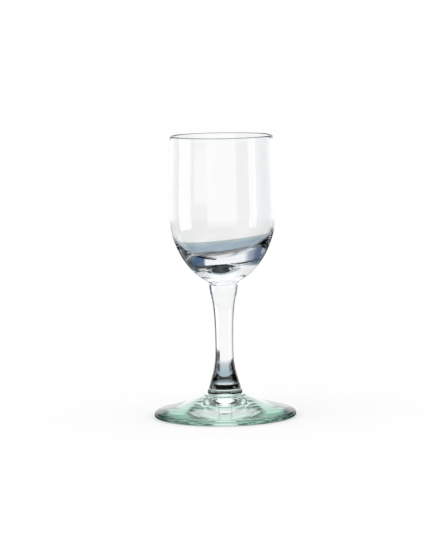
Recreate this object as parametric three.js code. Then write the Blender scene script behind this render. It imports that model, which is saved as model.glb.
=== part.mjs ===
// A stemmed vodka glass of about 60 ml, in millimetres and +Z up. Its origin is the middle of the
// circle on which its foot stands. It is four pieces of glass, fused face to face from the foot up:
// a spun foot, a flattened collar, a drawn stem and a blown bowl.
import * as THREE from "three";

// Foot: a shallow cone with a boss in the middle, a rounded edge and a hollow under it
const FOOT_DIAMETER = 59;
const FOOT_HEIGHT = 9.3;
const FOOT_EDGE_HEIGHT = 2.4;
const FOOT_EDGE_WIDTH = 1.6;
const FOOT_NOSE_HEIGHT = 1;
const FOOT_UNDERCUT = 1.1;
const BOSS_LEDGE = 1.4;
const BOSS_HEIGHT = 0.6;
const BOSS_ROUNDING = 0.6;
const STANDING_RING_WIDTH = 2.4;
const HOLLOW_HEIGHT = 4.3;
// How far the cone's two ends run straight, along the radius and along the height
const CONE_START_SHARES = [0.33, 0.41];
const CONE_END_SHARES = [0.33, 0.28];
const HOLLOW_FLAT_SHARE = 0.45;
const HOLLOW_RISE_SHARE = 0.4;

// Collar: a disc of glass pressed flat between the stem and the foot
const COLLAR_LEDGE = 0.6;
const COLLAR_HEIGHT = 2.1;
const COLLAR_ROUNDING = 0.6;

// Stem: solid, drawn to a waist below its middle, and flared to a shoulder at each end
const STEM_LENGTH = 44.1;
const STEM_WAIST_DIAMETER = 7.44;
const STEM_WAIST_HEIGHT = 17;
const STEM_BASE_DIAMETER = 13.2;
const STEM_TOP_DIAMETER = 11.9;
const STEM_SHOULDER_HEIGHT = 0.8;
const STEM_SHOULDER_WIDTH = 0.25;
const STEM_BASE_CHAMFER = 0.3;
// How far each end of the two flares runs straight, as shares of the flare's own length
const BASE_FLARE_SHARES = [0.15, 0.62];
const TOP_FLARE_SHARES = [0.82, 0.26];
const TOP_FLARE_LEAN_SHARE = 0.3;

// Bowl: a tall cup whose wall thickens into a heavy base
const BOWL_HEIGHT = 61.5;
const BOWL_DIAMETER = 44.1;
const BOWL_WIDEST_HEIGHT = 28.4;
const NECK_LEDGE = 0.9;
const NECK_HEIGHT = 1;
const RIM_DIAMETER = 42.6;
const RIM_ROUNDING = 0.45;
const WALL_THICKNESS = 1;
const BASE_THICKNESS = 7.19;
// The cup's floor is a shallow cone with a blunt tip, sunk into its round bottom
const FLOOR_CONE_DIAMETER = 33.8;
const FLOOR_CONE_DEPTH = 2.27;
const FLOOR_CONE_POWER = 1.23;
const FLOOR_TIP_ROUNDING = 2.2;
// A superellipse's power: 2 is an ellipse, less is more pointed and more is squarer
const BOWL_OUTSIDE_POWER = 1.85;
const BOWL_INSIDE_POWER = 2.5;
const BOWL_SIDE_SHARE = 0.4;

// Fineness of the surfaces
const SEGMENTS = 48;
const CURVE_STEPS = 8;
const BASE_STEPS = 12;
const ROUNDING_STEPS = 4;

// The stem's two ends set the pieces that they are fused to
const COLLAR_RADIUS = STEM_BASE_DIAMETER / 2 + COLLAR_LEDGE;
const JOINT_RADIUS = STEM_TOP_DIAMETER / 2 - STEM_SHOULDER_WIDTH;

const QUARTER_TURN = Math.PI / 2;

const point = (radius, height) => new THREE.Vector2(radius, height);

// The points of a cubic curve from start to end that leaves towards its first handle and arrives
// from its second, without the start.
function bend(start, leaving, arriving, end, steps = CURVE_STEPS) {
  return new THREE.CubicBezierCurve(start, leaving, arriving, end).getPoints(steps).slice(1);
}

// The points of a quarter of an ellipse from start to end, without the start. The curve leaves
// along the radius where flatFirst is true, and along the height where it is false.
function quarter(start, end, flatFirst, steps = ROUNDING_STEPS) {
  const across = end.x - start.x;
  const along = end.y - start.y;
  const points = [];
  for (let i = 1; i <= steps; i++) {
    const angle = (QUARTER_TURN * i) / steps;
    const first = Math.sin(angle);
    const second = 1 - Math.cos(angle);
    points.push(
      point(
        start.x + across * (flatFirst ? first : second),
        start.y + along * (flatFirst ? second : first),
      ),
    );
  }
  return points;
}

// A superellipse's points, |r/R|^p + |h/H|^p = 1 with h measured down from its widest height. They
// run from a low point on it up to its full radius R, and H is what brings it through that point.
function cup(low, radius, widestHeight, power) {
  const start = Math.acos(Math.pow(low.x / radius, power / 2));
  const reach = (widestHeight - low.y) / Math.pow(Math.sin(start), 2 / power);
  const points = [];
  for (let i = 0; i <= BASE_STEPS; i++) {
    const angle = start * (1 - i / BASE_STEPS);
    points.push(
      point(
        radius * Math.pow(Math.cos(angle), 2 / power),
        widestHeight - reach * Math.pow(Math.sin(angle), 2 / power),
      ),
    );
  }
  return points;
}

// How far the blunt cone sinks the cup's floor: its depth at the middle, and nothing from its edge
// on. The power makes its side a little hollow.
function floorDrop(radius) {
  const bluntRadius = Math.hypot(radius, FLOOR_TIP_ROUNDING) - FLOOR_TIP_ROUNDING;
  const shareLeft = Math.max(1 - bluntRadius / (FLOOR_CONE_DIAMETER / 2), 0);
  return FLOOR_CONE_DEPTH * Math.pow(shareLeft, FLOOR_CONE_POWER);
}

function revolve(name, profile, height, material) {
  const geometry = new THREE.LatheGeometry(profile, SEGMENTS);
  geometry.rotateX(QUARTER_TURN);
  const mesh = new THREE.Mesh(geometry, material);
  mesh.name = name;
  mesh.position.z = height;
  return mesh;
}

function footProfile() {
  const outside = FOOT_DIAMETER / 2;
  const coneFoot = point(outside - FOOT_EDGE_WIDTH, FOOT_EDGE_HEIGHT);
  const nose = point(outside, FOOT_NOSE_HEIGHT);
  const ringOutside = point(outside - FOOT_UNDERCUT, 0);
  const ringInside = point(ringOutside.x - STANDING_RING_WIDTH, 0);
  const bossEdge = COLLAR_RADIUS + BOSS_LEDGE;
  const coneTop = point(bossEdge, FOOT_HEIGHT - BOSS_HEIGHT);
  const faceEdge = point(bossEdge - BOSS_ROUNDING, FOOT_HEIGHT);
  const coneRun = coneFoot.x - coneTop.x;
  const coneDrop = coneTop.y - coneFoot.y;
  return [
    point(0, HOLLOW_HEIGHT),
    ...bend(
      point(0, HOLLOW_HEIGHT),
      point(ringInside.x * HOLLOW_FLAT_SHARE, HOLLOW_HEIGHT),
      point(ringInside.x * (1 - HOLLOW_RISE_SHARE), HOLLOW_HEIGHT * HOLLOW_RISE_SHARE),
      ringInside,
    ),
    ringOutside,
    ...quarter(ringOutside, nose, true),
    ...quarter(nose, coneFoot, false),
    ...bend(
      coneFoot,
      point(
        coneFoot.x - coneRun * CONE_END_SHARES[0],
        coneFoot.y + coneDrop * CONE_END_SHARES[1],
      ),
      point(
        coneTop.x + coneRun * CONE_START_SHARES[0],
        coneTop.y - coneDrop * CONE_START_SHARES[1],
      ),
      coneTop,
    ),
    ...quarter(coneTop, faceEdge, false),
    point(0, FOOT_HEIGHT),
  ];
}

function collarProfile() {
  const outside = COLLAR_RADIUS;
  const face = outside - COLLAR_ROUNDING;
  return [
    point(0, 0),
    point(face, 0),
    ...quarter(point(face, 0), point(outside, COLLAR_ROUNDING), true),
    point(outside, COLLAR_HEIGHT - COLLAR_ROUNDING),
    ...quarter(point(outside, COLLAR_HEIGHT - COLLAR_ROUNDING), point(face, COLLAR_HEIGHT), false),
    point(0, COLLAR_HEIGHT),
  ];
}

function stemProfile() {
  const base = point(STEM_BASE_DIAMETER / 2, STEM_BASE_CHAMFER);
  const waist = point(STEM_WAIST_DIAMETER / 2, STEM_WAIST_HEIGHT);
  const shoulder = point(STEM_TOP_DIAMETER / 2, STEM_LENGTH - STEM_SHOULDER_HEIGHT);
  const joint = point(JOINT_RADIUS, STEM_LENGTH);
  const lower = waist.y - base.y;
  const upper = shoulder.y - waist.y;
  return [
    point(0, 0),
    point(base.x - STEM_BASE_CHAMFER, 0),
    base,
    ...bend(
      base,
      point(base.x, base.y + lower * BASE_FLARE_SHARES[0]),
      point(waist.x, waist.y - lower * BASE_FLARE_SHARES[1]),
      waist,
    ),
    ...bend(
      waist,
      point(waist.x, waist.y + upper * TOP_FLARE_SHARES[0]),
      point(
        shoulder.x - (shoulder.x - waist.x) * TOP_FLARE_LEAN_SHARE,
        shoulder.y - upper * TOP_FLARE_SHARES[1],
      ),
      shoulder,
    ),
    ...quarter(shoulder, joint, false),
    point(0, STEM_LENGTH),
  ];
}

function bowlProfile() {
  const outside = BOWL_DIAMETER / 2;
  const inside = outside - WALL_THICKNESS;
  const neck = point(JOINT_RADIUS + NECK_LEDGE, NECK_HEIGHT);
  const bottom = point(0, BASE_THICKNESS + FLOOR_CONE_DEPTH);
  const rimOutside = point(RIM_DIAMETER / 2, BOWL_HEIGHT - RIM_ROUNDING);
  const rimInside = point(rimOutside.x - WALL_THICKNESS, rimOutside.y);
  const rimTop = point((rimOutside.x + rimInside.x) / 2, BOWL_HEIGHT);
  const cupOutside = cup(neck, outside, BOWL_WIDEST_HEIGHT, BOWL_OUTSIDE_POWER);
  const roundInside = cup(bottom, inside, BOWL_WIDEST_HEIGHT, BOWL_INSIDE_POWER);
  const cupInside = roundInside.map((place) => point(place.x, place.y - floorDrop(place.x)));
  const side = (rimOutside.y - BOWL_WIDEST_HEIGHT) * BOWL_SIDE_SHARE;
  return [
    point(0, 0),
    point(JOINT_RADIUS, 0),
    ...cupOutside,
    ...bend(
      cupOutside.at(-1),
      point(outside, BOWL_WIDEST_HEIGHT + side),
      point(rimOutside.x, rimOutside.y - side),
      rimOutside,
    ),
    ...quarter(rimOutside, rimTop, false),
    ...quarter(rimTop, rimInside, true),
    ...bend(
      rimInside,
      point(rimInside.x, rimInside.y - side),
      point(inside, BOWL_WIDEST_HEIGHT + side),
      cupInside.at(-1),
    ),
    ...cupInside.reverse().slice(1),
  ];
}

const clearGlass = () =>
  new THREE.MeshStandardMaterial({ color: 0xe6ecf0, roughness: 0.03, metalness: 0 });
const greenGlass = () =>
  new THREE.MeshStandardMaterial({ color: 0xbfd8cc, roughness: 0.04, metalness: 0 });

const collarSeat = FOOT_HEIGHT;
const stemSeat = collarSeat + COLLAR_HEIGHT;
const bowlSeat = stemSeat + STEM_LENGTH;

const glass = new THREE.Group();
glass.add(
  revolve("foot", footProfile(), 0, greenGlass()),
  revolve("collar", collarProfile(), collarSeat, greenGlass()),
  revolve("stem", stemProfile(), stemSeat, clearGlass()),
  revolve("bowl", bowlProfile(), bowlSeat, clearGlass()),
);

export default glass;
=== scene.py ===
"""A stemmed vodka glass: a green foot and collar, a clear stem and a clear bowl, fused together.

Each piece is a surface of revolution about +Z, worked out in millimetres and stored in metres.
The cards and soft lamps that show in the glass are patches of colour in the surroundings and on
the floor, which only rays that the glass bends or mirrors can see. Some of those patches are
painted light and shade: the glass's shadow and shade on the table round and under the foot, a
pool of light under the foot, and black shade inside the glass.
"""

import logging
import math
from collections.abc import Callable, Sequence
from dataclasses import dataclass, field
from enum import Enum

import bpy
import numpy as np
from mathutils import Matrix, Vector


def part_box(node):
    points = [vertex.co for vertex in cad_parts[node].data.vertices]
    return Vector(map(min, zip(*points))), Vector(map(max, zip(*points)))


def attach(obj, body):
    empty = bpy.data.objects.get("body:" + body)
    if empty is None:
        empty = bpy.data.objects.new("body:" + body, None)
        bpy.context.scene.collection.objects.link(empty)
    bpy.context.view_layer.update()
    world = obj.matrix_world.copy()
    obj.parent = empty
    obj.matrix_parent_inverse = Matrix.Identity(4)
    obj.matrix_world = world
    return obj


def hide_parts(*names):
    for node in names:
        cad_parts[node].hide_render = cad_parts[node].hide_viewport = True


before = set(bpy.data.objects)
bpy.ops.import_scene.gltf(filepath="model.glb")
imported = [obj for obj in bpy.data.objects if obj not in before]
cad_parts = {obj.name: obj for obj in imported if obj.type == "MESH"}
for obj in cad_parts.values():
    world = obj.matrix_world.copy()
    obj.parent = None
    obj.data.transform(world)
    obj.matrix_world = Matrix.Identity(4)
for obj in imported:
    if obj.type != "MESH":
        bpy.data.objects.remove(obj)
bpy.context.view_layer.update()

LOG = logging.getLogger("vodka_glass")
BODY = "root"

MM = 0.001
# How many steps a full turn takes, and a long curve, a plain line and a rounding of an outline
SEGMENTS = 192
FINE_STEPS = 64
PLAIN_STEPS = 24
ROUNDING_STEPS = 10
# Fused faces lie this far apart in millimetres, so that no ray meets both of them at once
FUSE_GAP = 0.02
# With this setting a MapRange node gives a share that rises smoothly from 0 to 1
SMOOTH = {"interpolation_type": "SMOOTHSTEP"}
# Black of the painted shade round the foot and inside the glass
PAINTED_SHADE_BLACK = "#04070a"

Point = tuple[float, float]
Span = tuple[float, float]
Place = tuple[float, float, float]
Warp = Callable[[np.ndarray], np.ndarray]
Tree = bpy.types.NodeTree
Socket = bpy.types.NodeSocket


class Slot(Enum):
    """The record's material slots."""

    CLEAR = "clear_glass"
    GREEN = "green_glass"


class Attribute(Enum):
    """The mesh attributes that a finish reads."""

    SKIN = "skin"


def linear(colour: str) -> tuple[float, float, float, float]:
    """Turns an sRGB hex colour to linear.

    Args:
        colour: Six hex digits after a hash mark.

    Returns:
        Red, green, blue and an alpha of 1.
    """
    shares = [int(colour[i : i + 2], 16) / 255 for i in (1, 3, 5)]
    bent = [s / 12.92 if s <= 0.04045 else ((s + 0.055) / 1.055) ** 2.4 for s in shares]
    return (*bent, 1.0)


def add_node(tree: Tree, kind: str, inputs: dict | None = None, **settings) -> bpy.types.Node:
    """Adds a shader node with its settings and links.

    Args:
        tree: The node tree that takes the node.
        kind: The node's type, without the words ShaderNode.
        inputs: For each input's name or number, a value or the output that feeds it.
        **settings: The node's own properties.

    Returns:
        The new node.
    """
    node = tree.nodes.new("ShaderNode" + kind)
    for name, value in settings.items():
        setattr(node, name, value)
    for key, value in (inputs or {}).items():
        if isinstance(value, Socket):
            tree.links.new(value, node.inputs[key])
        else:
            node.inputs[key].default_value = value
    return node


def empty_tree(owner: bpy.types.Material | bpy.types.World) -> Tree:
    """Turns on the nodes of a material or a world, and takes them all out.

    Args:
        owner: The material or the world.

    Returns:
        Its empty node tree.
    """
    owner.use_nodes = True
    owner.node_tree.nodes.clear()
    return owner.node_tree


def add_thing(name: str, data: bpy.types.ID) -> bpy.types.Object:
    """Adds an object to the scene.

    Args:
        name: The new object's name.
        data: Its mesh, lamp or lens.

    Returns:
        The new object.
    """
    thing = bpy.data.objects.new(name, data)
    bpy.context.scene.collection.objects.link(thing)
    return thing


def line(start: Point, end: Point, steps: int = PLAIN_STEPS) -> np.ndarray:
    """Gives evenly spaced points on a straight line.

    Args:
        start: First radius and height.
        end: Last radius and height.
        steps: How many equal steps the line takes.

    Returns:
        One row of radius and height for each point, both ends included.
    """
    return np.linspace(start, end, steps + 1)


def bend(start: Point, leaving: Point, arriving: Point, end: Point, steps: int = FINE_STEPS) -> np.ndarray:
    """Gives points on a cubic curve.

    A point is the four given points weighted by the cubic Bernstein shares
    (1-t)^3, 3t(1-t)^2, 3t^2(1-t) and t^3.

    Args:
        start: First radius and height.
        leaving: The point that the curve sets out towards.
        arriving: The point that it comes in from.
        end: Last radius and height.
        steps: How many steps the curve takes.

    Returns:
        One row of radius and height for each point, both ends included.
    """
    t = np.linspace(0, 1, steps + 1)[:, None]
    shares = ((1 - t) ** 3, 3 * t * (1 - t) ** 2, 3 * t**2 * (1 - t), t**3)
    return sum(share * np.array(place) for share, place in zip(shares, (start, leaving, arriving, end)))


def quarter(start: Point, end: Point, flat_first: bool, steps: int = ROUNDING_STEPS) -> np.ndarray:
    """Gives points on a quarter of an ellipse.

    The curve covers sin a of the way along one axis and 1 - cos a along the other, as a
    goes from nothing to a quarter turn.

    Args:
        start: First radius and height.
        end: Last radius and height.
        flat_first: Whether the curve leaves along the radius, not along the height.
        steps: How many steps the curve takes.

    Returns:
        One row of radius and height for each point, both ends included.
    """
    angle = np.linspace(0, math.pi / 2, steps + 1)
    shares = np.stack([np.sin(angle), 1 - np.cos(angle)], axis=1)
    if not flat_first:
        shares = shares[:, ::-1]
    return np.array(start) + (np.array(end) - np.array(start)) * shares


def cup(
    low: Point, radius: float, widest_height: float, power: float, steps: int = FINE_STEPS
) -> np.ndarray:
    """Gives points on the lower quarter of a superellipse that goes through a low point.

    The curve holds |r / R|^p + |d / D|^p = 1, with r the radius and d the depth below the
    widest height. D is what brings it through the low point.

    Args:
        low: Radius and height of the lowest point.
        radius: The full radius R, reached at the widest height.
        widest_height: Height at which the cup is widest.
        power: The power p: 2 is an ellipse, and more is squarer.
        steps: How many steps the curve takes.

    Returns:
        One row of radius and height for each point, from the low point up.
    """
    first = math.acos((low[0] / radius) ** (power / 2))
    depth = (widest_height - low[1]) / math.sin(first) ** (2 / power)
    angle = np.linspace(first, 0, steps + 1)
    reach = np.cos(angle).clip(0) ** (2 / power)
    drop = np.sin(angle).clip(0) ** (2 / power)
    return np.stack([radius * reach, widest_height - depth * drop], axis=1)


@dataclass(frozen=True)
class Stretch:
    """A smooth part of an outline.

    Attributes:
        points: One row of radius and height in millimetres for each point.
        fused: Whether the surface that it sweeps is melted to the next piece.
    """

    points: np.ndarray
    fused: bool = False


def fused_top(rim: Point) -> Stretch:
    """Gives the fused face on top of a piece, from its rim to the axis.

    The face is flat, and lies the fuse gap below the rim.

    Args:
        rim: Radius and height of the face's rim.

    Returns:
        The stretch, which starts at the rim.
    """
    edge = (rim[0], rim[1] - FUSE_GAP)
    return Stretch(np.vstack([line(rim, edge, 1), line(edge, (0.0, edge[1]))[1:]]), True)


@dataclass(frozen=True)
class Seat:
    """Where the frame puts a piece, in millimetres.

    Attributes:
        low: Height of the piece's lowest point.
        height: Its height.
        radius: Its largest radius.
    """

    low: float
    height: float
    radius: float

    @classmethod
    def of(cls, node: str) -> "Seat":
        """Reads a CAD node's seat from the frame.

        Args:
            node: The node's name.

        Returns:
            The seat of that node.
        """
        low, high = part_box(node)
        return cls(low.z / MM, (high.z - low.z) / MM, high.x / MM)


def revolve(name: str, stretches: Sequence[Stretch], seat: Seat, warp: Warp) -> bpy.types.Object:
    """Turns an outline about +Z into a closed mesh.

    A point of the surface, for a turn a and an outline place t, is
    (r(t) cos a, r(t) sin a, h(t) + seat). The two ends lie on the axis, and each is one
    vertex. The edge between two stretches is a crease.

    Args:
        name: The new object's name.
        stretches: The outline, from the axis below to the axis above, each stretch
            starting where the last one ends.
        seat: Where the piece stands.
        warp: Moves the grid of rings, in millimetres above the seat, before it is lifted.

    Returns:
        The new object, with the skin attribute on its faces.
    """
    rows = np.vstack([stretches[0].points[:1]] + [s.points[1:] for s in stretches])
    counts = [len(s.points) - 1 for s in stretches]
    skin = np.repeat([not s.fused for s in stretches], counts).astype(np.float32)
    creases = np.cumsum(counts)[:-1]
    turn = np.linspace(0, 2 * math.pi, SEGMENTS, endpoint=False)
    grid = np.stack(
        [rows[:, :1] * np.cos(turn), rows[:, :1] * np.sin(turn), np.repeat(rows[:, 1:], SEGMENTS, axis=1)],
        axis=-1,
    )
    grid = warp(grid)
    rings = grid[1:-1].reshape(-1, 3)
    poles = grid[[0, -1]].mean(axis=1)
    points = (np.vstack([rings, poles]) + [0, 0, seat.low]) * MM

    # Four-sided faces between neighbouring rings, and a fan of three-sided ones at each pole
    here = np.arange(SEGMENTS)
    after = np.roll(here, -1)
    starts = np.arange(len(rows) - 3)[:, None] * SEGMENTS
    quads = np.stack(
        [starts + here, starts + after, starts + after + SEGMENTS, starts + here + SEGMENTS], axis=-1
    ).reshape(-1, 4)
    last_ring = (len(rows) - 3) * SEGMENTS
    low_pole = np.full(SEGMENTS, len(rings))
    first_fan = np.stack([low_pole, after, here], axis=-1)
    last_fan = np.stack([last_ring + here, last_ring + after, low_pole + 1], axis=-1)

    mesh = bpy.data.meshes.new(name)
    mesh.from_pydata(points.tolist(), [], first_fan.tolist() + quads.tolist() + last_fan.tolist())
    mesh.shade_smooth()
    mark = mesh.attributes.new(Attribute.SKIN.value, "FLOAT", "FACE")
    mark.data.foreach_set("value", np.repeat(skin, SEGMENTS))
    # The edges along a ring are sharp where two stretches meet
    ends = np.empty(len(mesh.edges) * 2, np.int32)
    mesh.edges.foreach_get("vertices", ends)
    ring_of_end = ends.reshape(-1, 2) // SEGMENTS + 1
    level = ring_of_end[:, 0] == ring_of_end[:, 1]
    sharp = level & np.isin(ring_of_end[:, 0], creases)
    mesh.attributes.new("sharp_edge", "BOOLEAN", "EDGE").data.foreach_set("value", sharp)
    return add_thing(name, mesh)


@dataclass(frozen=True)
class GlassFinish:
    """Soda-lime glass, melted, shaped hot and fire-polished.

    Attributes:
        name: The material's name.
        slot: The record's slot that it belongs to. It is not used.
        stain: Colour that a thick piece tends to, as sRGB hex.
        density: How fast it gets there, per metre.
        ripple: Height of the tool ripples in millimetres.
        ripple_spacing: Distance between ripples in millimetres.
        refraction: Index of refraction, typical for soda-lime glass.
    """

    name: str
    slot: Slot
    stain: str
    density: float
    ripple: float
    ripple_spacing: float
    refraction: float = 1.52

    def make(self) -> bpy.types.Material:
        """Builds the material.

        A fused face keeps an index of 1, because light crosses a melted joint unbent.

        Returns:
            The new material.
        """
        material = bpy.data.materials.new(self.name)
        tree = empty_tree(material)
        skin = add_node(tree, "Attribute", attribute_name=Attribute.SKIN.value)
        index = add_node(
            tree, "Math", {0: skin.outputs["Fac"], 1: self.refraction - 1, 2: 1.0}, operation="MULTIPLY_ADD"
        )
        place = add_node(tree, "TexCoord")
        ripples = add_node(
            tree, "TexNoise",
            {"Vector": place.outputs["Object"], "Scale": 1 / (self.ripple_spacing * MM), "Detail": 1.0},
        )
        bump = add_node(
            tree, "Bump", {"Height": ripples.outputs["Fac"], "Strength": 1.0, "Distance": self.ripple * MM}
        )
        surface = add_node(
            tree, "BsdfPrincipled",
            {
                "Base Color": (1.0, 1.0, 1.0, 1.0),
                "Roughness": 0.0,
                "Transmission Weight": 1.0,
                "IOR": index.outputs[0],
                "Normal": bump.outputs[0],
            },
        )
        body = add_node(tree, "VolumeAbsorption", {"Color": linear(self.stain), "Density": self.density})
        add_node(tree, "OutputMaterial", {"Surface": surface.outputs[0], "Volume": body.outputs[0]})
        return material


# Blown and drawn glass: near colourless, and faintly blue-grey where light goes far in it
CLEAR = GlassFinish("blown_clear_glass", Slot.CLEAR, "#dfe9ee", 6.0, 0.003, 9.0)
# Pressed green glass: pale aqua through the flat of the foot, bottle green along its edge
GREEN = GlassFinish("pressed_green_glass", Slot.GREEN, "#50f1b4", 8.5, 0.006, 5.0)


@dataclass
class Piece:
    """A piece of the glass: what it is called and how it is finished."""

    node: str
    finish: GlassFinish

    def outline(self) -> list[Stretch]:
        """Gives the outline, from the axis below to the axis above."""
        raise NotImplementedError

    def warp(self, grid: np.ndarray) -> np.ndarray:
        """Leaves the grid as it is, unless a piece has an unevenness of its own."""
        return grid

    @property
    def seat(self) -> Seat:
        """Where the frame puts this piece."""
        return Seat.of(self.node)

    def build(self) -> bpy.types.Object:
        """Makes the piece in place of its CAD node.

        Returns:
            The finished object, riding on the glass's one body.
        """
        thing = revolve(self.node + "_glass", self.outline(), self.seat, self.warp)
        self.dress(thing)
        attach(thing, BODY)
        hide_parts(self.node)
        LOG.info("%s: %d faces", thing.name, len(thing.data.polygons))
        return thing

    def dress(self, thing: bpy.types.Object) -> None:
        """Puts the finish on the piece."""
        name = self.finish.name
        thing.data.materials.append(bpy.data.materials.get(name) or self.finish.make())


@dataclass
class Foot(Piece):
    """The pressed foot: a shallow cone with a boss, a rounded edge and a hollow underneath.

    The frame gives its radius and height. Every other size is in millimetres, and shares are
    of the run and the drop of the curve that they bend.

    Attributes:
        edge_height: Height at which the edge's rounding meets the cone.
        edge_width: How far that rounding reaches in.
        nose_height: Height at which the edge stands out furthest.
        undercut: How far the edge draws in below its nose.
        ring_width: Width of the flat ring that the glass stands on.
        hollow_height: Height of the hollow underside at the middle.
        hollow_flat_share: How much of the hollow's radius is nearly level.
        hollow_rise_share: How steeply the hollow leaves the ring.
        boss_radius: Radius of the boss in the middle.
        boss_height: Height of the boss above the cone.
        boss_rounding: Rounding of the boss's shoulder.
        joint_radius: Radius of the face that is melted to the collar.
        cone_start_shares: Pull of the cone's curve at the boss, along the run and the drop.
        cone_end_shares: Pull of the cone's curve at the edge, along the run and the drop.
    """

    node: str = "foot"
    finish: GlassFinish = GREEN
    edge_height: float = 2.4
    edge_width: float = 1.6
    nose_height: float = 1.0
    undercut: float = 1.1
    ring_width: float = 2.4
    hollow_height: float = 4.3
    hollow_flat_share: float = 0.45
    hollow_rise_share: float = 0.4
    boss_radius: float = 8.6
    boss_height: float = 0.6
    boss_rounding: float = 0.6
    joint_radius: float = 6.6
    cone_start_shares: Point = (0.33, 0.41)
    cone_end_shares: Point = (0.33, 0.28)

    def outline(self) -> list[Stretch]:
        """Gives the underside, the edge, the cone, the boss and the face under the collar."""
        outside, top = self.seat.radius, self.seat.height
        cone_foot = (outside - self.edge_width, self.edge_height)
        nose = (outside, self.nose_height)
        ring_outside = (outside - self.undercut, 0.0)
        ring_inside = (ring_outside[0] - self.ring_width, 0.0)
        cone_top = (self.boss_radius, top - self.boss_height)
        face_edge = (self.boss_radius - self.boss_rounding, top)
        rim = (self.joint_radius, top)
        run, drop = cone_foot[0] - cone_top[0], cone_top[1] - cone_foot[1]
        hollow = bend(
            (0.0, self.hollow_height),
            (ring_inside[0] * self.hollow_flat_share, self.hollow_height),
            (ring_inside[0] * (1 - self.hollow_rise_share), self.hollow_height * self.hollow_rise_share),
            ring_inside,
        )
        cone = bend(
            cone_foot,
            (cone_foot[0] - run * self.cone_end_shares[0], cone_foot[1] + drop * self.cone_end_shares[1]),
            (cone_top[0] + run * self.cone_start_shares[0], cone_top[1] - drop * self.cone_start_shares[1]),
            cone_top,
        )
        edge = np.vstack([quarter(ring_outside, nose, True), quarter(nose, cone_foot, False)[1:], cone[1:]])
        return [
            Stretch(hollow),
            Stretch(line(ring_inside, ring_outside, ROUNDING_STEPS)),
            Stretch(edge),
            Stretch(quarter(cone_top, face_edge, False)),
            Stretch(line(face_edge, rim, ROUNDING_STEPS)),
            fused_top(rim),
        ]


@dataclass
class Collar(Piece):
    """The collar: a gob of green glass pressed flat between the foot and the stem.

    The frame gives its radius and height.

    Attributes:
        rounding: Rounding of its edges in millimetres.
        joint_radius: Radius in millimetres of the face that is melted to the stem.
    """

    node: str = "collar"
    finish: GlassFinish = GREEN
    rounding: float = 0.6
    joint_radius: float = 6.3

    def outline(self) -> list[Stretch]:
        """Gives the fused face below, the round side and the fused face above."""
        outside, top = self.seat.radius, self.seat.height
        face = outside - self.rounding
        low_turn = quarter((face, 0.0), (outside, self.rounding), True)
        high_turn = quarter((outside, top - self.rounding), (face, top), False)
        rim = (self.joint_radius, top)
        return [
            Stretch(line((0.0, 0.0), (face, 0.0)), True),
            Stretch(np.vstack([low_turn, high_turn])),
            Stretch(line((face, top), rim, ROUNDING_STEPS)),
            fused_top(rim),
        ]


@dataclass
class Stem(Piece):
    """The stem: a solid rod drawn hot to a waist and flared at both ends.

    The frame gives its radius at the base and its length. Every other size is in millimetres,
    and shares are of the length between the waist and that end.

    Attributes:
        waist_radius: Radius at the waist.
        waist_height: Height of the waist.
        top_radius: Radius at the shoulder under the bowl.
        shoulder_height: How far the shoulder's rounding reaches down.
        shoulder_width: How far it reaches in.
        chamfer: The small slope at the base, where the stem is melted to the collar.
        base_flare_shares: How long the lower flare runs straight at its base and at the waist.
        top_flare_shares: How long the upper flare runs straight at the waist and at its top.
        top_lean_share: How far the upper flare's last pull leans in to the waist's radius.
    """

    node: str = "stem"
    finish: GlassFinish = CLEAR
    waist_radius: float = 3.72
    waist_height: float = 17.0
    top_radius: float = 5.95
    shoulder_height: float = 0.8
    shoulder_width: float = 0.25
    chamfer: float = 0.3
    base_flare_shares: Point = (0.15, 0.62)
    top_flare_shares: Point = (0.82, 0.26)
    top_lean_share: float = 0.3

    def outline(self) -> list[Stretch]:
        """Gives the fused face below, the two flares and the fused face above."""
        length = self.seat.height
        base = (self.seat.radius, self.chamfer)
        waist = (self.waist_radius, self.waist_height)
        shoulder = (self.top_radius, length - self.shoulder_height)
        joint = (self.top_radius - self.shoulder_width, length)
        lower, upper = waist[1] - base[1], shoulder[1] - waist[1]
        lean = (shoulder[0] - waist[0]) * self.top_lean_share
        low_flare = bend(
            base,
            (base[0], base[1] + lower * self.base_flare_shares[0]),
            (waist[0], waist[1] - lower * self.base_flare_shares[1]),
            waist,
        )
        high_flare = bend(
            waist,
            (waist[0], waist[1] + upper * self.top_flare_shares[0]),
            (shoulder[0] - lean, shoulder[1] - upper * self.top_flare_shares[1]),
            shoulder,
        )
        side = np.vstack([low_flare, high_flare[1:], quarter(shoulder, joint, False)[1:]])
        low_edge = (base[0] - self.chamfer, 0.0)
        return [
            Stretch(line((0.0, 0.0), low_edge), True),
            Stretch(line(low_edge, base, 1)),
            Stretch(side),
            fused_top(joint),
        ]


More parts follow.
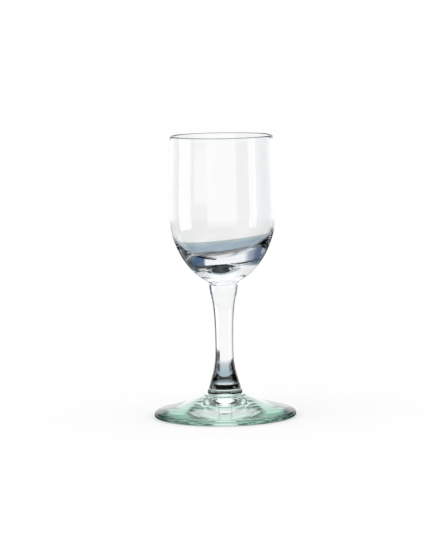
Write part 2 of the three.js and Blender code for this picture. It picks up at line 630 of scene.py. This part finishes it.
@dataclass
class Bowl(Piece):
    """The bowl: a blown cup with a thin wall, a fire-polished rim and a heavy base.

    The frame gives its radius and height. Sizes are in millimetres, and heights are above the
    stem.

    Attributes:
        joint_radius: Radius of the face that is melted to the stem.
        neck_ledge: How far the neck flares out above that face.
        neck_height: Height of that flare.
        widest_height: Height at which the bowl is widest.
        rim_radius: Outer radius just below the rim.
        rim_rounding: Height of the rim's rounding.
        wall: Thickness of the wall.
        base_thickness: Thickness of the glass under the middle of the cup.
        cone_depth: How far a blunt cone sinks the cup's floor at its middle.
        cone_radius: Radius of that cone.
        cone_power: Above 1, the cone's side is a little hollow.
        tip_rounding: Radius over which its tip is blunt.
        outside_power: Power of the outside's superellipse: below 2 is slimmer than an ellipse.
        inside_power: Power of the inside's superellipse: above 2 is squarer.
        side_share: How long the wall runs straight up from the widest height, and to the rim.
        floor_slope: Slope of the cup's floor to the right.
        floor_slope_back: Its slope to the back.
        slope_fade: Power by which the slope fades out towards the wall.
        slope_reach: How far above the widest height the slope ends.
        inside_start: Number of the first ring of the inside, which the outline sets.
    """

    node: str = "bowl"
    finish: GlassFinish = CLEAR
    joint_radius: float = 5.7
    neck_ledge: float = 0.9
    neck_height: float = 1.0
    widest_height: float = 28.4
    rim_radius: float = 21.3
    rim_rounding: float = 0.45
    wall: float = 1.0
    base_thickness: float = 7.19
    cone_depth: float = 2.27
    cone_radius: float = 16.9
    cone_power: float = 1.23
    tip_rounding: float = 2.2
    outside_power: float = 1.85
    inside_power: float = 2.5
    side_share: float = 0.4
    floor_slope: float = 0.089
    floor_slope_back: float = -0.031
    slope_fade: float = 2.58
    slope_reach: float = 6.0
    inside_start: int = field(default=0, init=False)

    @property
    def round_bottom(self) -> float:
        """Height of the cup's floor before the cone sinks it."""
        return self.base_thickness + self.cone_depth

    def outline(self) -> list[Stretch]:
        """Gives the fused face, the outside, the rim and the inside down to its floor."""
        outside, top = self.seat.radius, self.seat.height
        neck = (self.joint_radius + self.neck_ledge, self.neck_height)
        rim_outside = (self.rim_radius, top - self.rim_rounding)
        rim_inside = (self.rim_radius - self.wall, rim_outside[1])
        rim_top = (self.rim_radius - self.wall / 2, top)
        cup_outside = cup(neck, outside, self.widest_height, self.outside_power)
        wall_outside = self.wall_side(outside, rim_outside)
        wall_inside = self.wall_side(outside - self.wall, rim_inside)[::-1]
        outer = np.vstack([cup_outside, wall_outside[1:], quarter(rim_outside, rim_top, False)[1:]])
        cup_inside = self.cup_inside()[::-1]
        inner = np.vstack([quarter(rim_top, rim_inside, True), wall_inside[1:], cup_inside[1:]])
        face = line((0.0, 0.0), (self.joint_radius, 0.0))
        self.inside_start = len(face) + len(outer)
        return [
            Stretch(face, True),
            Stretch(line((self.joint_radius, 0.0), neck, ROUNDING_STEPS)),
            Stretch(np.vstack([outer, inner[1:]])),
        ]

    def wall_side(self, radius: float, rim: Point) -> np.ndarray:
        """Gives one side of the wall, which runs straight up before it leans in to the rim.

        Args:
            radius: The side's radius at the widest height.
            rim: Radius and height at which it reaches the rim.

        Returns:
            One row of radius and height for each point, from the widest height up.
        """
        widest = self.widest_height
        pull = (rim[1] - widest) * self.side_share
        return bend((radius, widest), (radius, widest + pull), (rim[0], rim[1] - pull), rim, PLAIN_STEPS)

    def cup_inside(self) -> np.ndarray:
        """Gives the inside of the cup, a superellipse with a blunt cone sunk in its floor.

        At a radius r the cone sinks the floor by its depth times (1 - b / R)^p, where b is
        the square root of r^2 + t^2, less t: t is the tip's rounding, R the cone's radius.

        Returns:
            One row of radius and height for each point, from the middle up.
        """
        inside = self.seat.radius - self.wall
        points = cup((0.0, self.round_bottom), inside, self.widest_height, self.inside_power)
        blunt = np.hypot(points[:, 0], self.tip_rounding) - self.tip_rounding
        points[:, 1] -= self.cone_depth * (1 - blunt / self.cone_radius).clip(0) ** self.cone_power
        return points

    def warp(self, grid: np.ndarray) -> np.ndarray:
        """Slopes the floor of the cup, where the glass settled to one side.

        A point inside rises by the slopes times x and y, times a share that fades from 1 at
        the floor to nothing a little above the widest height.

        Args:
            grid: The rings of points in millimetres.

        Returns:
            The grid with its inside sloped.
        """
        inside = grid[self.inside_start :]
        reach = self.widest_height + self.slope_reach
        fade = ((reach - inside[..., 2]) / (reach - self.round_bottom)).clip(0, 1) ** self.slope_fade
        lean = self.floor_slope * inside[..., 0] + self.floor_slope_back * inside[..., 1]
        inside[..., 2] += lean * fade
        return grid


class Rays(Enum):
    """The rays that see a patch: each value is the output of Light Path that picks them."""

    MIRRORED = "Is Reflection Ray"
    BENT = "Is Transmission Ray"
    BOTH = ""


@dataclass(frozen=True)
class Patch:
    """Part of the surroundings, as the glass sees them.

    Attributes:
        azimuth: Where it starts and ends, in degrees to the right of straight behind.
        elevation: Where it starts and ends, in degrees above level.
        blur: Width of its blurred borders in degrees: first across, then up.
        colour: Its colour as sRGB hex.
        strength: How many times as bright as that colour it shines.
        rays: Which rays see it.
    """

    azimuth: Span
    elevation: Span
    blur: tuple[float, float]
    colour: str
    strength: float = 1.0
    rays: Rays = Rays.BOTH


# Every direction: both ends lie past the last degree of any turn
ALL_ROUND = (-400.0, 400.0)
# Each patch covers the ones before it
PATCHES = (
    # The backdrop at the left, which turns slate grey and then dark towards the room
    Patch((-400, -50), ALL_ROUND, (14, 1), "#a9b4c6", rays=Rays.BENT),
    Patch((-400, -64), ALL_ROUND, (14, 1), "#6a7b96", rays=Rays.BENT),
    Patch((-400, -95), ALL_ROUND, (20, 1), "#060910", rays=Rays.BENT),
    # Slate card to the right, and the dark beyond it
    Patch((50, 400), ALL_ROUND, (8, 1), "#566b8a", rays=Rays.BENT),
    Patch((78, 400), ALL_ROUND, (14, 1), "#060910", rays=Rays.BENT),
    # Dark cards above both sides, each with a low wing that reaches further in
    Patch((34, 95), (16, 40), (8, 6), "#2c3632", rays=Rays.BENT),
    Patch((-95, -34), (16, 40), (8, 6), "#2c3632", rays=Rays.BENT),
    Patch((17, 95), (15, 23), (8, 4), "#2c3632", rays=Rays.BENT),
    Patch((-95, -17), (15, 23), (8, 4), "#2c3632", rays=Rays.BENT),
    # White card in front, about level
    Patch((146, 400), (-14, 16), (8, 8), "#dfe2e4", rays=Rays.BENT),
    Patch((-400, -146), (-14, 16), (8, 8), "#dfe2e4", rays=Rays.BENT),
    # Black card round both sides, with a pale strip about level
    Patch((50, 400), ALL_ROUND, (8, 8), "#06090c", rays=Rays.MIRRORED),
    Patch((-400, -60), ALL_ROUND, (30, 8), "#06090c", rays=Rays.MIRRORED),
    Patch((50, 400), (-15, 4), (8, 6), "#eceeef", rays=Rays.MIRRORED),
    Patch((-400, -60), (-15, 4), (30, 6), "#eceeef", rays=Rays.MIRRORED),
    # Dark below, which draws the outline of the cup's base
    Patch(ALL_ROUND, (-400, -7.5), (1, 3), "#06090c", rays=Rays.MIRRORED),
    # Grey strip above, between black cards that darken both ends of the foot
    Patch(ALL_ROUND, (15, 33), (1, 8), "#8d989a", rays=Rays.MIRRORED),
    Patch((22, 400), (10, 90), (10, 6), "#06090c", rays=Rays.MIRRORED),
    Patch((-400, -22), (10, 90), (10, 6), "#06090c", rays=Rays.MIRRORED),
    # Overhead softbox
    Patch(ALL_ROUND, (42, 400), (1, 10), "#f4f6f6", rays=Rays.BENT),
    Patch(ALL_ROUND, (58, 400), (1, 10), "#ffffff", 1.7, Rays.BENT),
    # Tall softboxes at both sides
    Patch((-108, -70), (-20, 12), (1, 2), "#ffffff", 3.0, Rays.MIRRORED),
    Patch((100, 119), (-20, 12), (1, 2), "#ffffff", 3.0, Rays.MIRRORED),
    # The table below, lit behind the glass, with a slate card's mirror image at its right
    Patch(ALL_ROUND, (-400, -17.6), (10, 1), "#0b0f16"),
    Patch((-78, 30), (-400, -17.6), (20, 1), "#bccacd"),
    # Painted shade: the lit table darker nearer the glass
    Patch((-78, 30), (-400, -24), (20, 8), "#9fb3c4"),
    Patch((23, 400), (-400, -9), (4, 3), "#141c28", rays=Rays.BENT),
    # Painted shadow: the table black straight under the glass
    Patch(ALL_ROUND, (-400, -60), (1, 6), "#04060a"),
    # Openings in the dark, which keep the glass clear from other sides
    Patch((-60, -30), (-34, -18), (6, 4), "#dfe6ea", rays=Rays.BENT),
    Patch((-100, -80), (-8, 2), (6, 3), "#bfc7d0", rays=Rays.BENT),
    Patch((112, 158), (-26, -5), (6, 4), "#f6f8f8", rays=Rays.BENT),
)


def glass_rays(tree: Tree) -> Socket:
    """Tells rays that the glass bends or mirrors from the rest.

    Args:
        tree: The node tree that asks.

    Returns:
        An output that is 1 for those rays and 0 for the others.
    """
    path = add_node(tree, "LightPath").outputs
    both = {0: path["Is Glossy Ray"], 1: path["Is Transmission Ray"]}
    return add_node(tree, "Math", both, operation="MAXIMUM").outputs[0]


def share_aside(tree: Tree, sector: Span) -> Socket:
    """Gives a share that rises from 0 behind the glass to 1 at its sides and front.

    A point's turn aside is the size of the angle whose tangent is x / y.

    Args:
        tree: The node tree that asks.
        sector: Where the rise starts and ends, in degrees to either side of straight behind.

    Returns:
        The output that holds the share.
    """
    axes = add_node(tree, "SeparateXYZ", {0: add_node(tree, "TexCoord").outputs["Object"]}).outputs
    turn = add_node(tree, "Math", {0: axes["X"], 1: axes["Y"]}, operation="ARCTAN2").outputs[0]
    aside = add_node(tree, "Math", {0: turn}, operation="ABSOLUTE").outputs[0]
    start, end = (math.radians(angle) for angle in sector)
    return add_node(tree, "MapRange", {0: aside, 1: start, 2: end}, **SMOOTH).outputs[0]


def share_within(tree: Tree, angle: Socket, span: Span, blur: float) -> Socket:
    """Gives a share that is 1 inside a span of angles and 0 outside it.

    Args:
        tree: The world's node tree.
        angle: The angle in radians.
        span: Where the span starts and ends, in degrees.
        blur: Width of each border in degrees.

    Returns:
        The output that holds the share.
    """
    borders = ([math.radians(a - blur / 2), math.radians(a + blur / 2)] for a in span)
    inside, beyond = (
        add_node(tree, "MapRange", {0: angle, 1: start, 2: end}, **SMOOTH).outputs[0]
        for start, end in borders
    )
    return add_node(tree, "Math", {0: inside, 1: beyond}, operation="SUBTRACT").outputs[0]


@dataclass
class Floor:
    """The white board under the glass, and the table that the glass sees in its place.

    Bent and mirrored rays see a dark table, lit in a sector behind the foot and darker
    towards the foot as painted shade, a painted pool of light under the foot where light
    through the foot falls on it, and the surroundings past the table's end. A span holds
    where a change starts and ends. Sizes are in millimetres and colours are sRGB hex.

    Attributes:
        half_width: Half the board's width.
        drop: How far the board lies below the foot.
        colour: The board.
        glow: Strength of white that the camera sees added to the board.
        dark_colour: The table where it isn't lit.
        shaded_near_colour: The lit sector beside the foot, darkened there as painted shade.
        far_colour: The lit sector further out.
        lit_start: Radii over which the lit sector starts. Inside them the table round the foot's
        edge stays dark, as painted shadow.
        lit_change: Radii over which the painted shade near the foot lifts to the far colour.
        lit_sector: Degrees from straight behind over which it ends at both sides.
        table_end: Radii over which the surroundings take over.
        light_pool_colour: The painted pool of light under the foot, where light through the foot falls.
        light_pool_end: Radii over which the pool of light ends.
        light_pool_reach: Lengths of a ray's last stretch over which it loses sight of the pool of
        light, because a ray that has only just left the glass left it under the foot.
        lit_depth: Rays with this many crossings or more went through more than one piece, and
        see neither the lit sector nor the pool of light: for them the table under and round
        the foot is painted dark, as the foot's shadow.
    """

    half_width: float = 3000.0
    drop: float = 0.05
    colour: str = "#f4f4f4"
    glow: float = 0.085
    dark_colour: str = "#030506"
    shaded_near_colour: str = "#a9bfc6"
    far_colour: str = "#d0dade"
    lit_start: Span = (26.0, 35.0)
    lit_change: Span = (33.0, 80.0)
    lit_sector: Span = (12.0, 42.0)
    table_end: Span = (70.0, 95.0)
    light_pool_colour: str = "#cbdcde"
    light_pool_end: Span = (25.0, 29.0)
    light_pool_reach: Span = (15.0, 30.0)
    lit_depth: float = 3.0

    def build(self) -> None:
        """Lays the board, a square of one face."""
        size, low = self.half_width * MM, -self.drop * MM
        corners = [(-size, -size, low), (size, -size, low), (size, size, low), (-size, size, low)]
        mesh = bpy.data.meshes.new("floor")
        mesh.from_pydata(corners, [], [(0, 1, 2, 3)])
        mesh.materials.append(self.make_board())
        add_thing("floor", mesh)

    def make_board(self) -> bpy.types.Material:
        """Builds the material: matt white board to the camera, and the table to the glass.

        Returns:
            The new material.
        """
        material = bpy.data.materials.new("matt_white_board")
        tree = empty_tree(material)
        board = add_node(tree, "BsdfDiffuse", {"Color": linear(self.colour)})
        camera_rays = add_node(tree, "LightPath").outputs["Is Camera Ray"]
        strength = add_node(tree, "Math", {0: camera_rays, 1: self.glow}, operation="MULTIPLY")
        glow = add_node(tree, "Emission", {"Strength": strength.outputs[0]})
        lit = add_node(tree, "AddShader", {0: board.outputs[0], 1: glow.outputs[0]})
        parts = {0: glass_rays(tree), 1: lit.outputs[0], 2: self.make_table(tree)}
        shown = add_node(tree, "MixShader", parts)
        add_node(tree, "OutputMaterial", {"Surface": shown.outputs[0]})
        return material

    def make_table(self, tree: Tree) -> Socket:
        """Builds the table that the glass sees, with its painted light and shade.

        Args:
            tree: The board's node tree.

        Returns:
            The output that holds the table's shader.
        """
        spot = add_node(tree, "TexCoord").outputs["Object"]
        radius = add_node(tree, "VectorMath", {0: spot}, operation="LENGTH").outputs["Value"]
        started, far_out, ended, light_pool_ended = (
            add_node(tree, "MapRange", {0: radius, 1: start * MM, 2: end * MM}, **SMOOTH).outputs[0]
            for start, end in (self.lit_start, self.lit_change, self.table_end, self.light_pool_end)
        )
        path = add_node(tree, "LightPath").outputs
        # Rays that went through more than one piece see the table under and round the foot dark: painted
        # shadow
        depth = {0: path["Transmission Depth"], 1: self.lit_depth}
        one_piece = add_node(tree, "Math", depth, operation="LESS_THAN").outputs[0]
        around = self.colour_around(tree, started, far_out, one_piece)

        # Painted pool of light under the foot, which rays that have just left one piece see
        reach = {0: path["Ray Length"], 1: self.light_pool_reach[0] * MM, 2: self.light_pool_reach[1] * MM}
        too_long = add_node(tree, "MapRange", reach, **SMOOTH).outputs[0]
        lost = add_node(tree, "Math", {0: light_pool_ended, 1: too_long}, operation="MAXIMUM").outputs[0]
        in_light_pool = {0: one_piece, 1: lost}
        share = add_node(tree, "Math", in_light_pool, operation="SUBTRACT", use_clamp=True).outputs[0]
        colour = add_node(tree, "MixRGB", {0: share, 1: around, 2: linear(self.light_pool_colour)}).outputs[0]
        table = add_node(tree, "Emission", {"Color": colour}).outputs[0]
        past = add_node(tree, "BsdfTransparent").outputs[0]
        return add_node(tree, "MixShader", {0: ended, 1: table, 2: past}).outputs[0]

    def colour_around(self, tree: Tree, started: Socket, far_out: Socket, one_piece: Socket) -> Socket:
        """Gives the colour of the table outside the pool of light.

        Args:
            tree: The board's node tree.
            started: Share of the lit sector's start that a point is past.
            far_out: Share of its change of colour that the point is past.
            one_piece: 1 for rays that went through one piece only.

        Returns:
            The output that holds the colour.
        """
        colours = {0: far_out, 1: linear(self.shaded_near_colour), 2: linear(self.far_colour)}
        lit_colour = add_node(tree, "MixRGB", colours).outputs[0]
        behind = {0: started, 1: share_aside(tree, self.lit_sector)}
        sector = add_node(tree, "Math", behind, operation="SUBTRACT", use_clamp=True).outputs[0]
        share = add_node(tree, "Math", {0: sector, 1: one_piece}, operation="MULTIPLY").outputs[0]
        return add_node(tree, "MixRGB", {0: share, 1: linear(self.dark_colour), 2: lit_colour}).outputs[0]


@dataclass
class FootShadeBand:
    """A low black band round the foot, open behind, that only bent rays see: painted shade that
    darkens the foot's edge as the shade on the table round it would.

    Attributes:
        radius: Its distance from the axis in millimetres.
        fade: Heights in millimetres over which it fades out. The last is its upper edge.
        gap: Degrees from straight behind over which it starts at both sides.
        colour: Its colour as sRGB hex.
    """

    radius: float = 40.0
    fade: Span = (8.0, 11.0)
    gap: Span = (12.0, 26.0)
    colour: str = PAINTED_SHADE_BLACK

    def build(self) -> None:
        """Stands the band up.

        A point of it, for a turn a and a height h, is (R sin a, R cos a, h).
        """
        turn = np.radians(np.linspace(0, 360, SEGMENTS + 1))
        across = self.radius * np.stack([np.sin(turn), np.cos(turn)], axis=1)
        low, high = (np.column_stack([across, np.full(len(turn), h)]) for h in (0.0, self.fade[1]))
        here = np.arange(SEGMENTS)
        above = here + len(turn)
        faces = np.stack([here, here + 1, above + 1, above], axis=1)
        mesh = bpy.data.meshes.new("foot_shade_band")
        mesh.from_pydata((np.vstack([low, high]) * MM).tolist(), [], faces.tolist())
        mesh.materials.append(self.make_shade_band())
        shade_band = add_thing("foot_shade_band", mesh)
        for kind in ("camera", "diffuse", "glossy", "shadow", "volume_scatter"):
            setattr(shade_band, "visible_" + kind, False)

    def make_shade_band(self) -> bpy.types.Material:
        """Builds the material: painted black shade that fades out upwards and towards the gap.

        Returns:
            The new material.
        """
        material = bpy.data.materials.new("painted_foot_shade")
        tree = empty_tree(material)
        spot = add_node(tree, "TexCoord").outputs["Object"]
        height = add_node(tree, "SeparateXYZ", {0: spot}).outputs["Z"]
        span = {0: height, 1: self.fade[0] * MM, 2: self.fade[1] * MM}
        faded = add_node(tree, "MapRange", span, **SMOOTH).outputs[0]
        both = {0: share_aside(tree, self.gap), 1: faded}
        share = add_node(tree, "Math", both, operation="SUBTRACT", use_clamp=True).outputs[0]
        glow = add_node(tree, "Emission", {"Color": linear(self.colour)}).outputs[0]
        gone = add_node(tree, "BsdfTransparent").outputs[0]
        shown = add_node(tree, "MixShader", {0: share, 1: gone, 2: glow})
        add_node(tree, "OutputMaterial", {"Surface": shown.outputs[0]})
        return material


@dataclass
class Surroundings:
    """Plain white all round, in which the glass sees the patches.

    Attributes:
        colour: The white, as sRGB hex.
        inner_shade_colour: Painted shade that rays see which are mirrored inside the glass, as sRGB hex.
    """

    colour: str = "#ffffff"
    inner_shade_colour: str = PAINTED_SHADE_BLACK

    def build(self) -> None:
        """Sets up the world."""
        world = bpy.data.worlds.new("studio")
        bpy.context.scene.world = world
        tree = empty_tree(world)
        colours = {0: glass_rays(tree), 1: linear(self.colour), 2: self.colour_in_glass(tree)}
        shown = add_node(tree, "MixRGB", colours)
        light = add_node(tree, "Background", {"Color": shown.outputs[0], "Strength": 1.0})
        add_node(tree, "OutputWorld", {"Surface": light.outputs[0]})

    def colour_in_glass(self, tree: Tree) -> Socket:
        """Lays the patches over the white, each over the ones before it.

        Args:
            tree: The world's node tree.

        Returns:
            The output that holds the colour.
        """
        away = add_node(tree, "TexCoord").outputs["Generated"]
        axes = add_node(tree, "SeparateXYZ", {0: away}).outputs
        azimuth = add_node(tree, "Math", {0: axes["X"], 1: axes["Y"]}, operation="ARCTAN2").outputs[0]
        elevation = add_node(tree, "Math", {0: axes["Z"]}, operation="ARCSINE").outputs[0]
        path = add_node(tree, "LightPath").outputs
        seen = linear(self.colour)
        for patch in PATCHES:
            across = share_within(tree, azimuth, patch.azimuth, patch.blur[0])
            along = share_within(tree, elevation, patch.elevation, patch.blur[1])
            share = add_node(tree, "Math", {0: across, 1: along}, operation="MULTIPLY").outputs[0]
            if patch.rays is not Rays.BOTH:
                asked = {0: share, 1: path[patch.rays.value]}
                share = add_node(tree, "Math", asked, operation="MULTIPLY").outputs[0]
            colour = tuple(c * patch.strength for c in linear(patch.colour))
            seen = add_node(tree, "MixRGB", {0: share, 1: seen, 2: colour}).outputs[0]
        # A mirrored ray that has crossed a surface was mirrored on its way through the glass, and sees
        # black painted shade
        crossed = {0: path["Transmission Depth"], 1: 1.0}
        within = add_node(tree, "Math", crossed, operation="MINIMUM").outputs[0]
        both = {0: within, 1: path["Is Reflection Ray"]}
        share = add_node(tree, "Math", both, operation="MULTIPLY").outputs[0]
        return add_node(tree, "MixRGB", {0: share, 1: seen, 2: linear(self.inner_shade_colour)}).outputs[0]


@dataclass
class Lamp:
    """One large soft lamp above and to the left, which lights the floor and casts the shadow.

    Attributes:
        place: Where it hangs, in millimetres. It faces the foot.
        width: Its width in millimetres.
        power: Its power in watts.
    """

    place: Place = (-350.0, -300.0, 1300.0)
    width: float = 900.0
    power: float = 0.8

    def build(self) -> None:
        """Hangs the lamp, which the camera and the glass don't see."""
        lamp = bpy.data.lights.new("overhead_lamp", "AREA")
        lamp.shape = "SQUARE"
        lamp.size = self.width * MM
        lamp.energy = self.power
        thing = add_thing("overhead_lamp", lamp)
        across, back, up = self.place
        tilt = math.atan2(math.hypot(across, back), up)
        thing.location = [v * MM for v in self.place]
        thing.rotation_euler = (tilt, 0.0, math.atan2(across, -back))
        for kind in ("camera", "glossy", "transmission"):
            setattr(thing, "visible_" + kind, False)


@dataclass
class Camera:
    """The camera, where the photograph was taken from.

    Attributes:
        place: Where it stands, in millimetres.
        pitch: Degrees that it looks down.
        roll: Degrees that it is turned about its own line of sight.
        focal_length: Focal length of its lens in millimetres.
        sensor_width: Width of its sensor in millimetres.
    """

    place: Place = (-1.14, -1210.3, 189.2)
    pitch: float = 6.16
    roll: float = 0.9
    focal_length: float = 191.2
    sensor_width: float = 36.0

    def build(self) -> None:
        """Turns the camera about its own line of sight, tips it up from straight down and places it."""
        lens = bpy.data.cameras.new("camera")
        lens.sensor_width = self.sensor_width
        lens.lens = self.focal_length
        camera = add_thing("camera", lens)
        roll = Matrix.Rotation(math.radians(-self.roll), 4, "Z")
        tip = Matrix.Rotation(math.radians(90 - self.pitch), 4, "X")
        camera.matrix_world = Matrix.Translation([v * MM for v in self.place]) @ tip @ roll
        bpy.context.scene.camera = camera


def settle_view(bounces: int = 32) -> None:
    """Sets the view transform and lets light bounce often enough to cross the glass.

    Args:
        bounces: The most that a ray may bounce.
    """
    scene = bpy.context.scene
    scene.view_settings.view_transform = "Standard"
    scene.cycles.max_bounces = bounces
    scene.cycles.transmission_bounces = bounces
    scene.cycles.glossy_bounces = bounces
    scene.cycles.transparent_max_bounces = bounces


def main() -> None:
    """Builds the studio and the four pieces in order."""
    logging.basicConfig(level=logging.INFO, format="%(name)s: %(message)s")
    for fitting in (Floor(), FootShadeBand(), Surroundings(), Lamp(), Camera()):
        fitting.build()
        LOG.info("%s: in place", type(fitting).__name__)
    settle_view()
    for piece in (Foot(), Collar(), Stem(), Bowl()):
        piece.build()


if __name__ == "__main__":
    main()
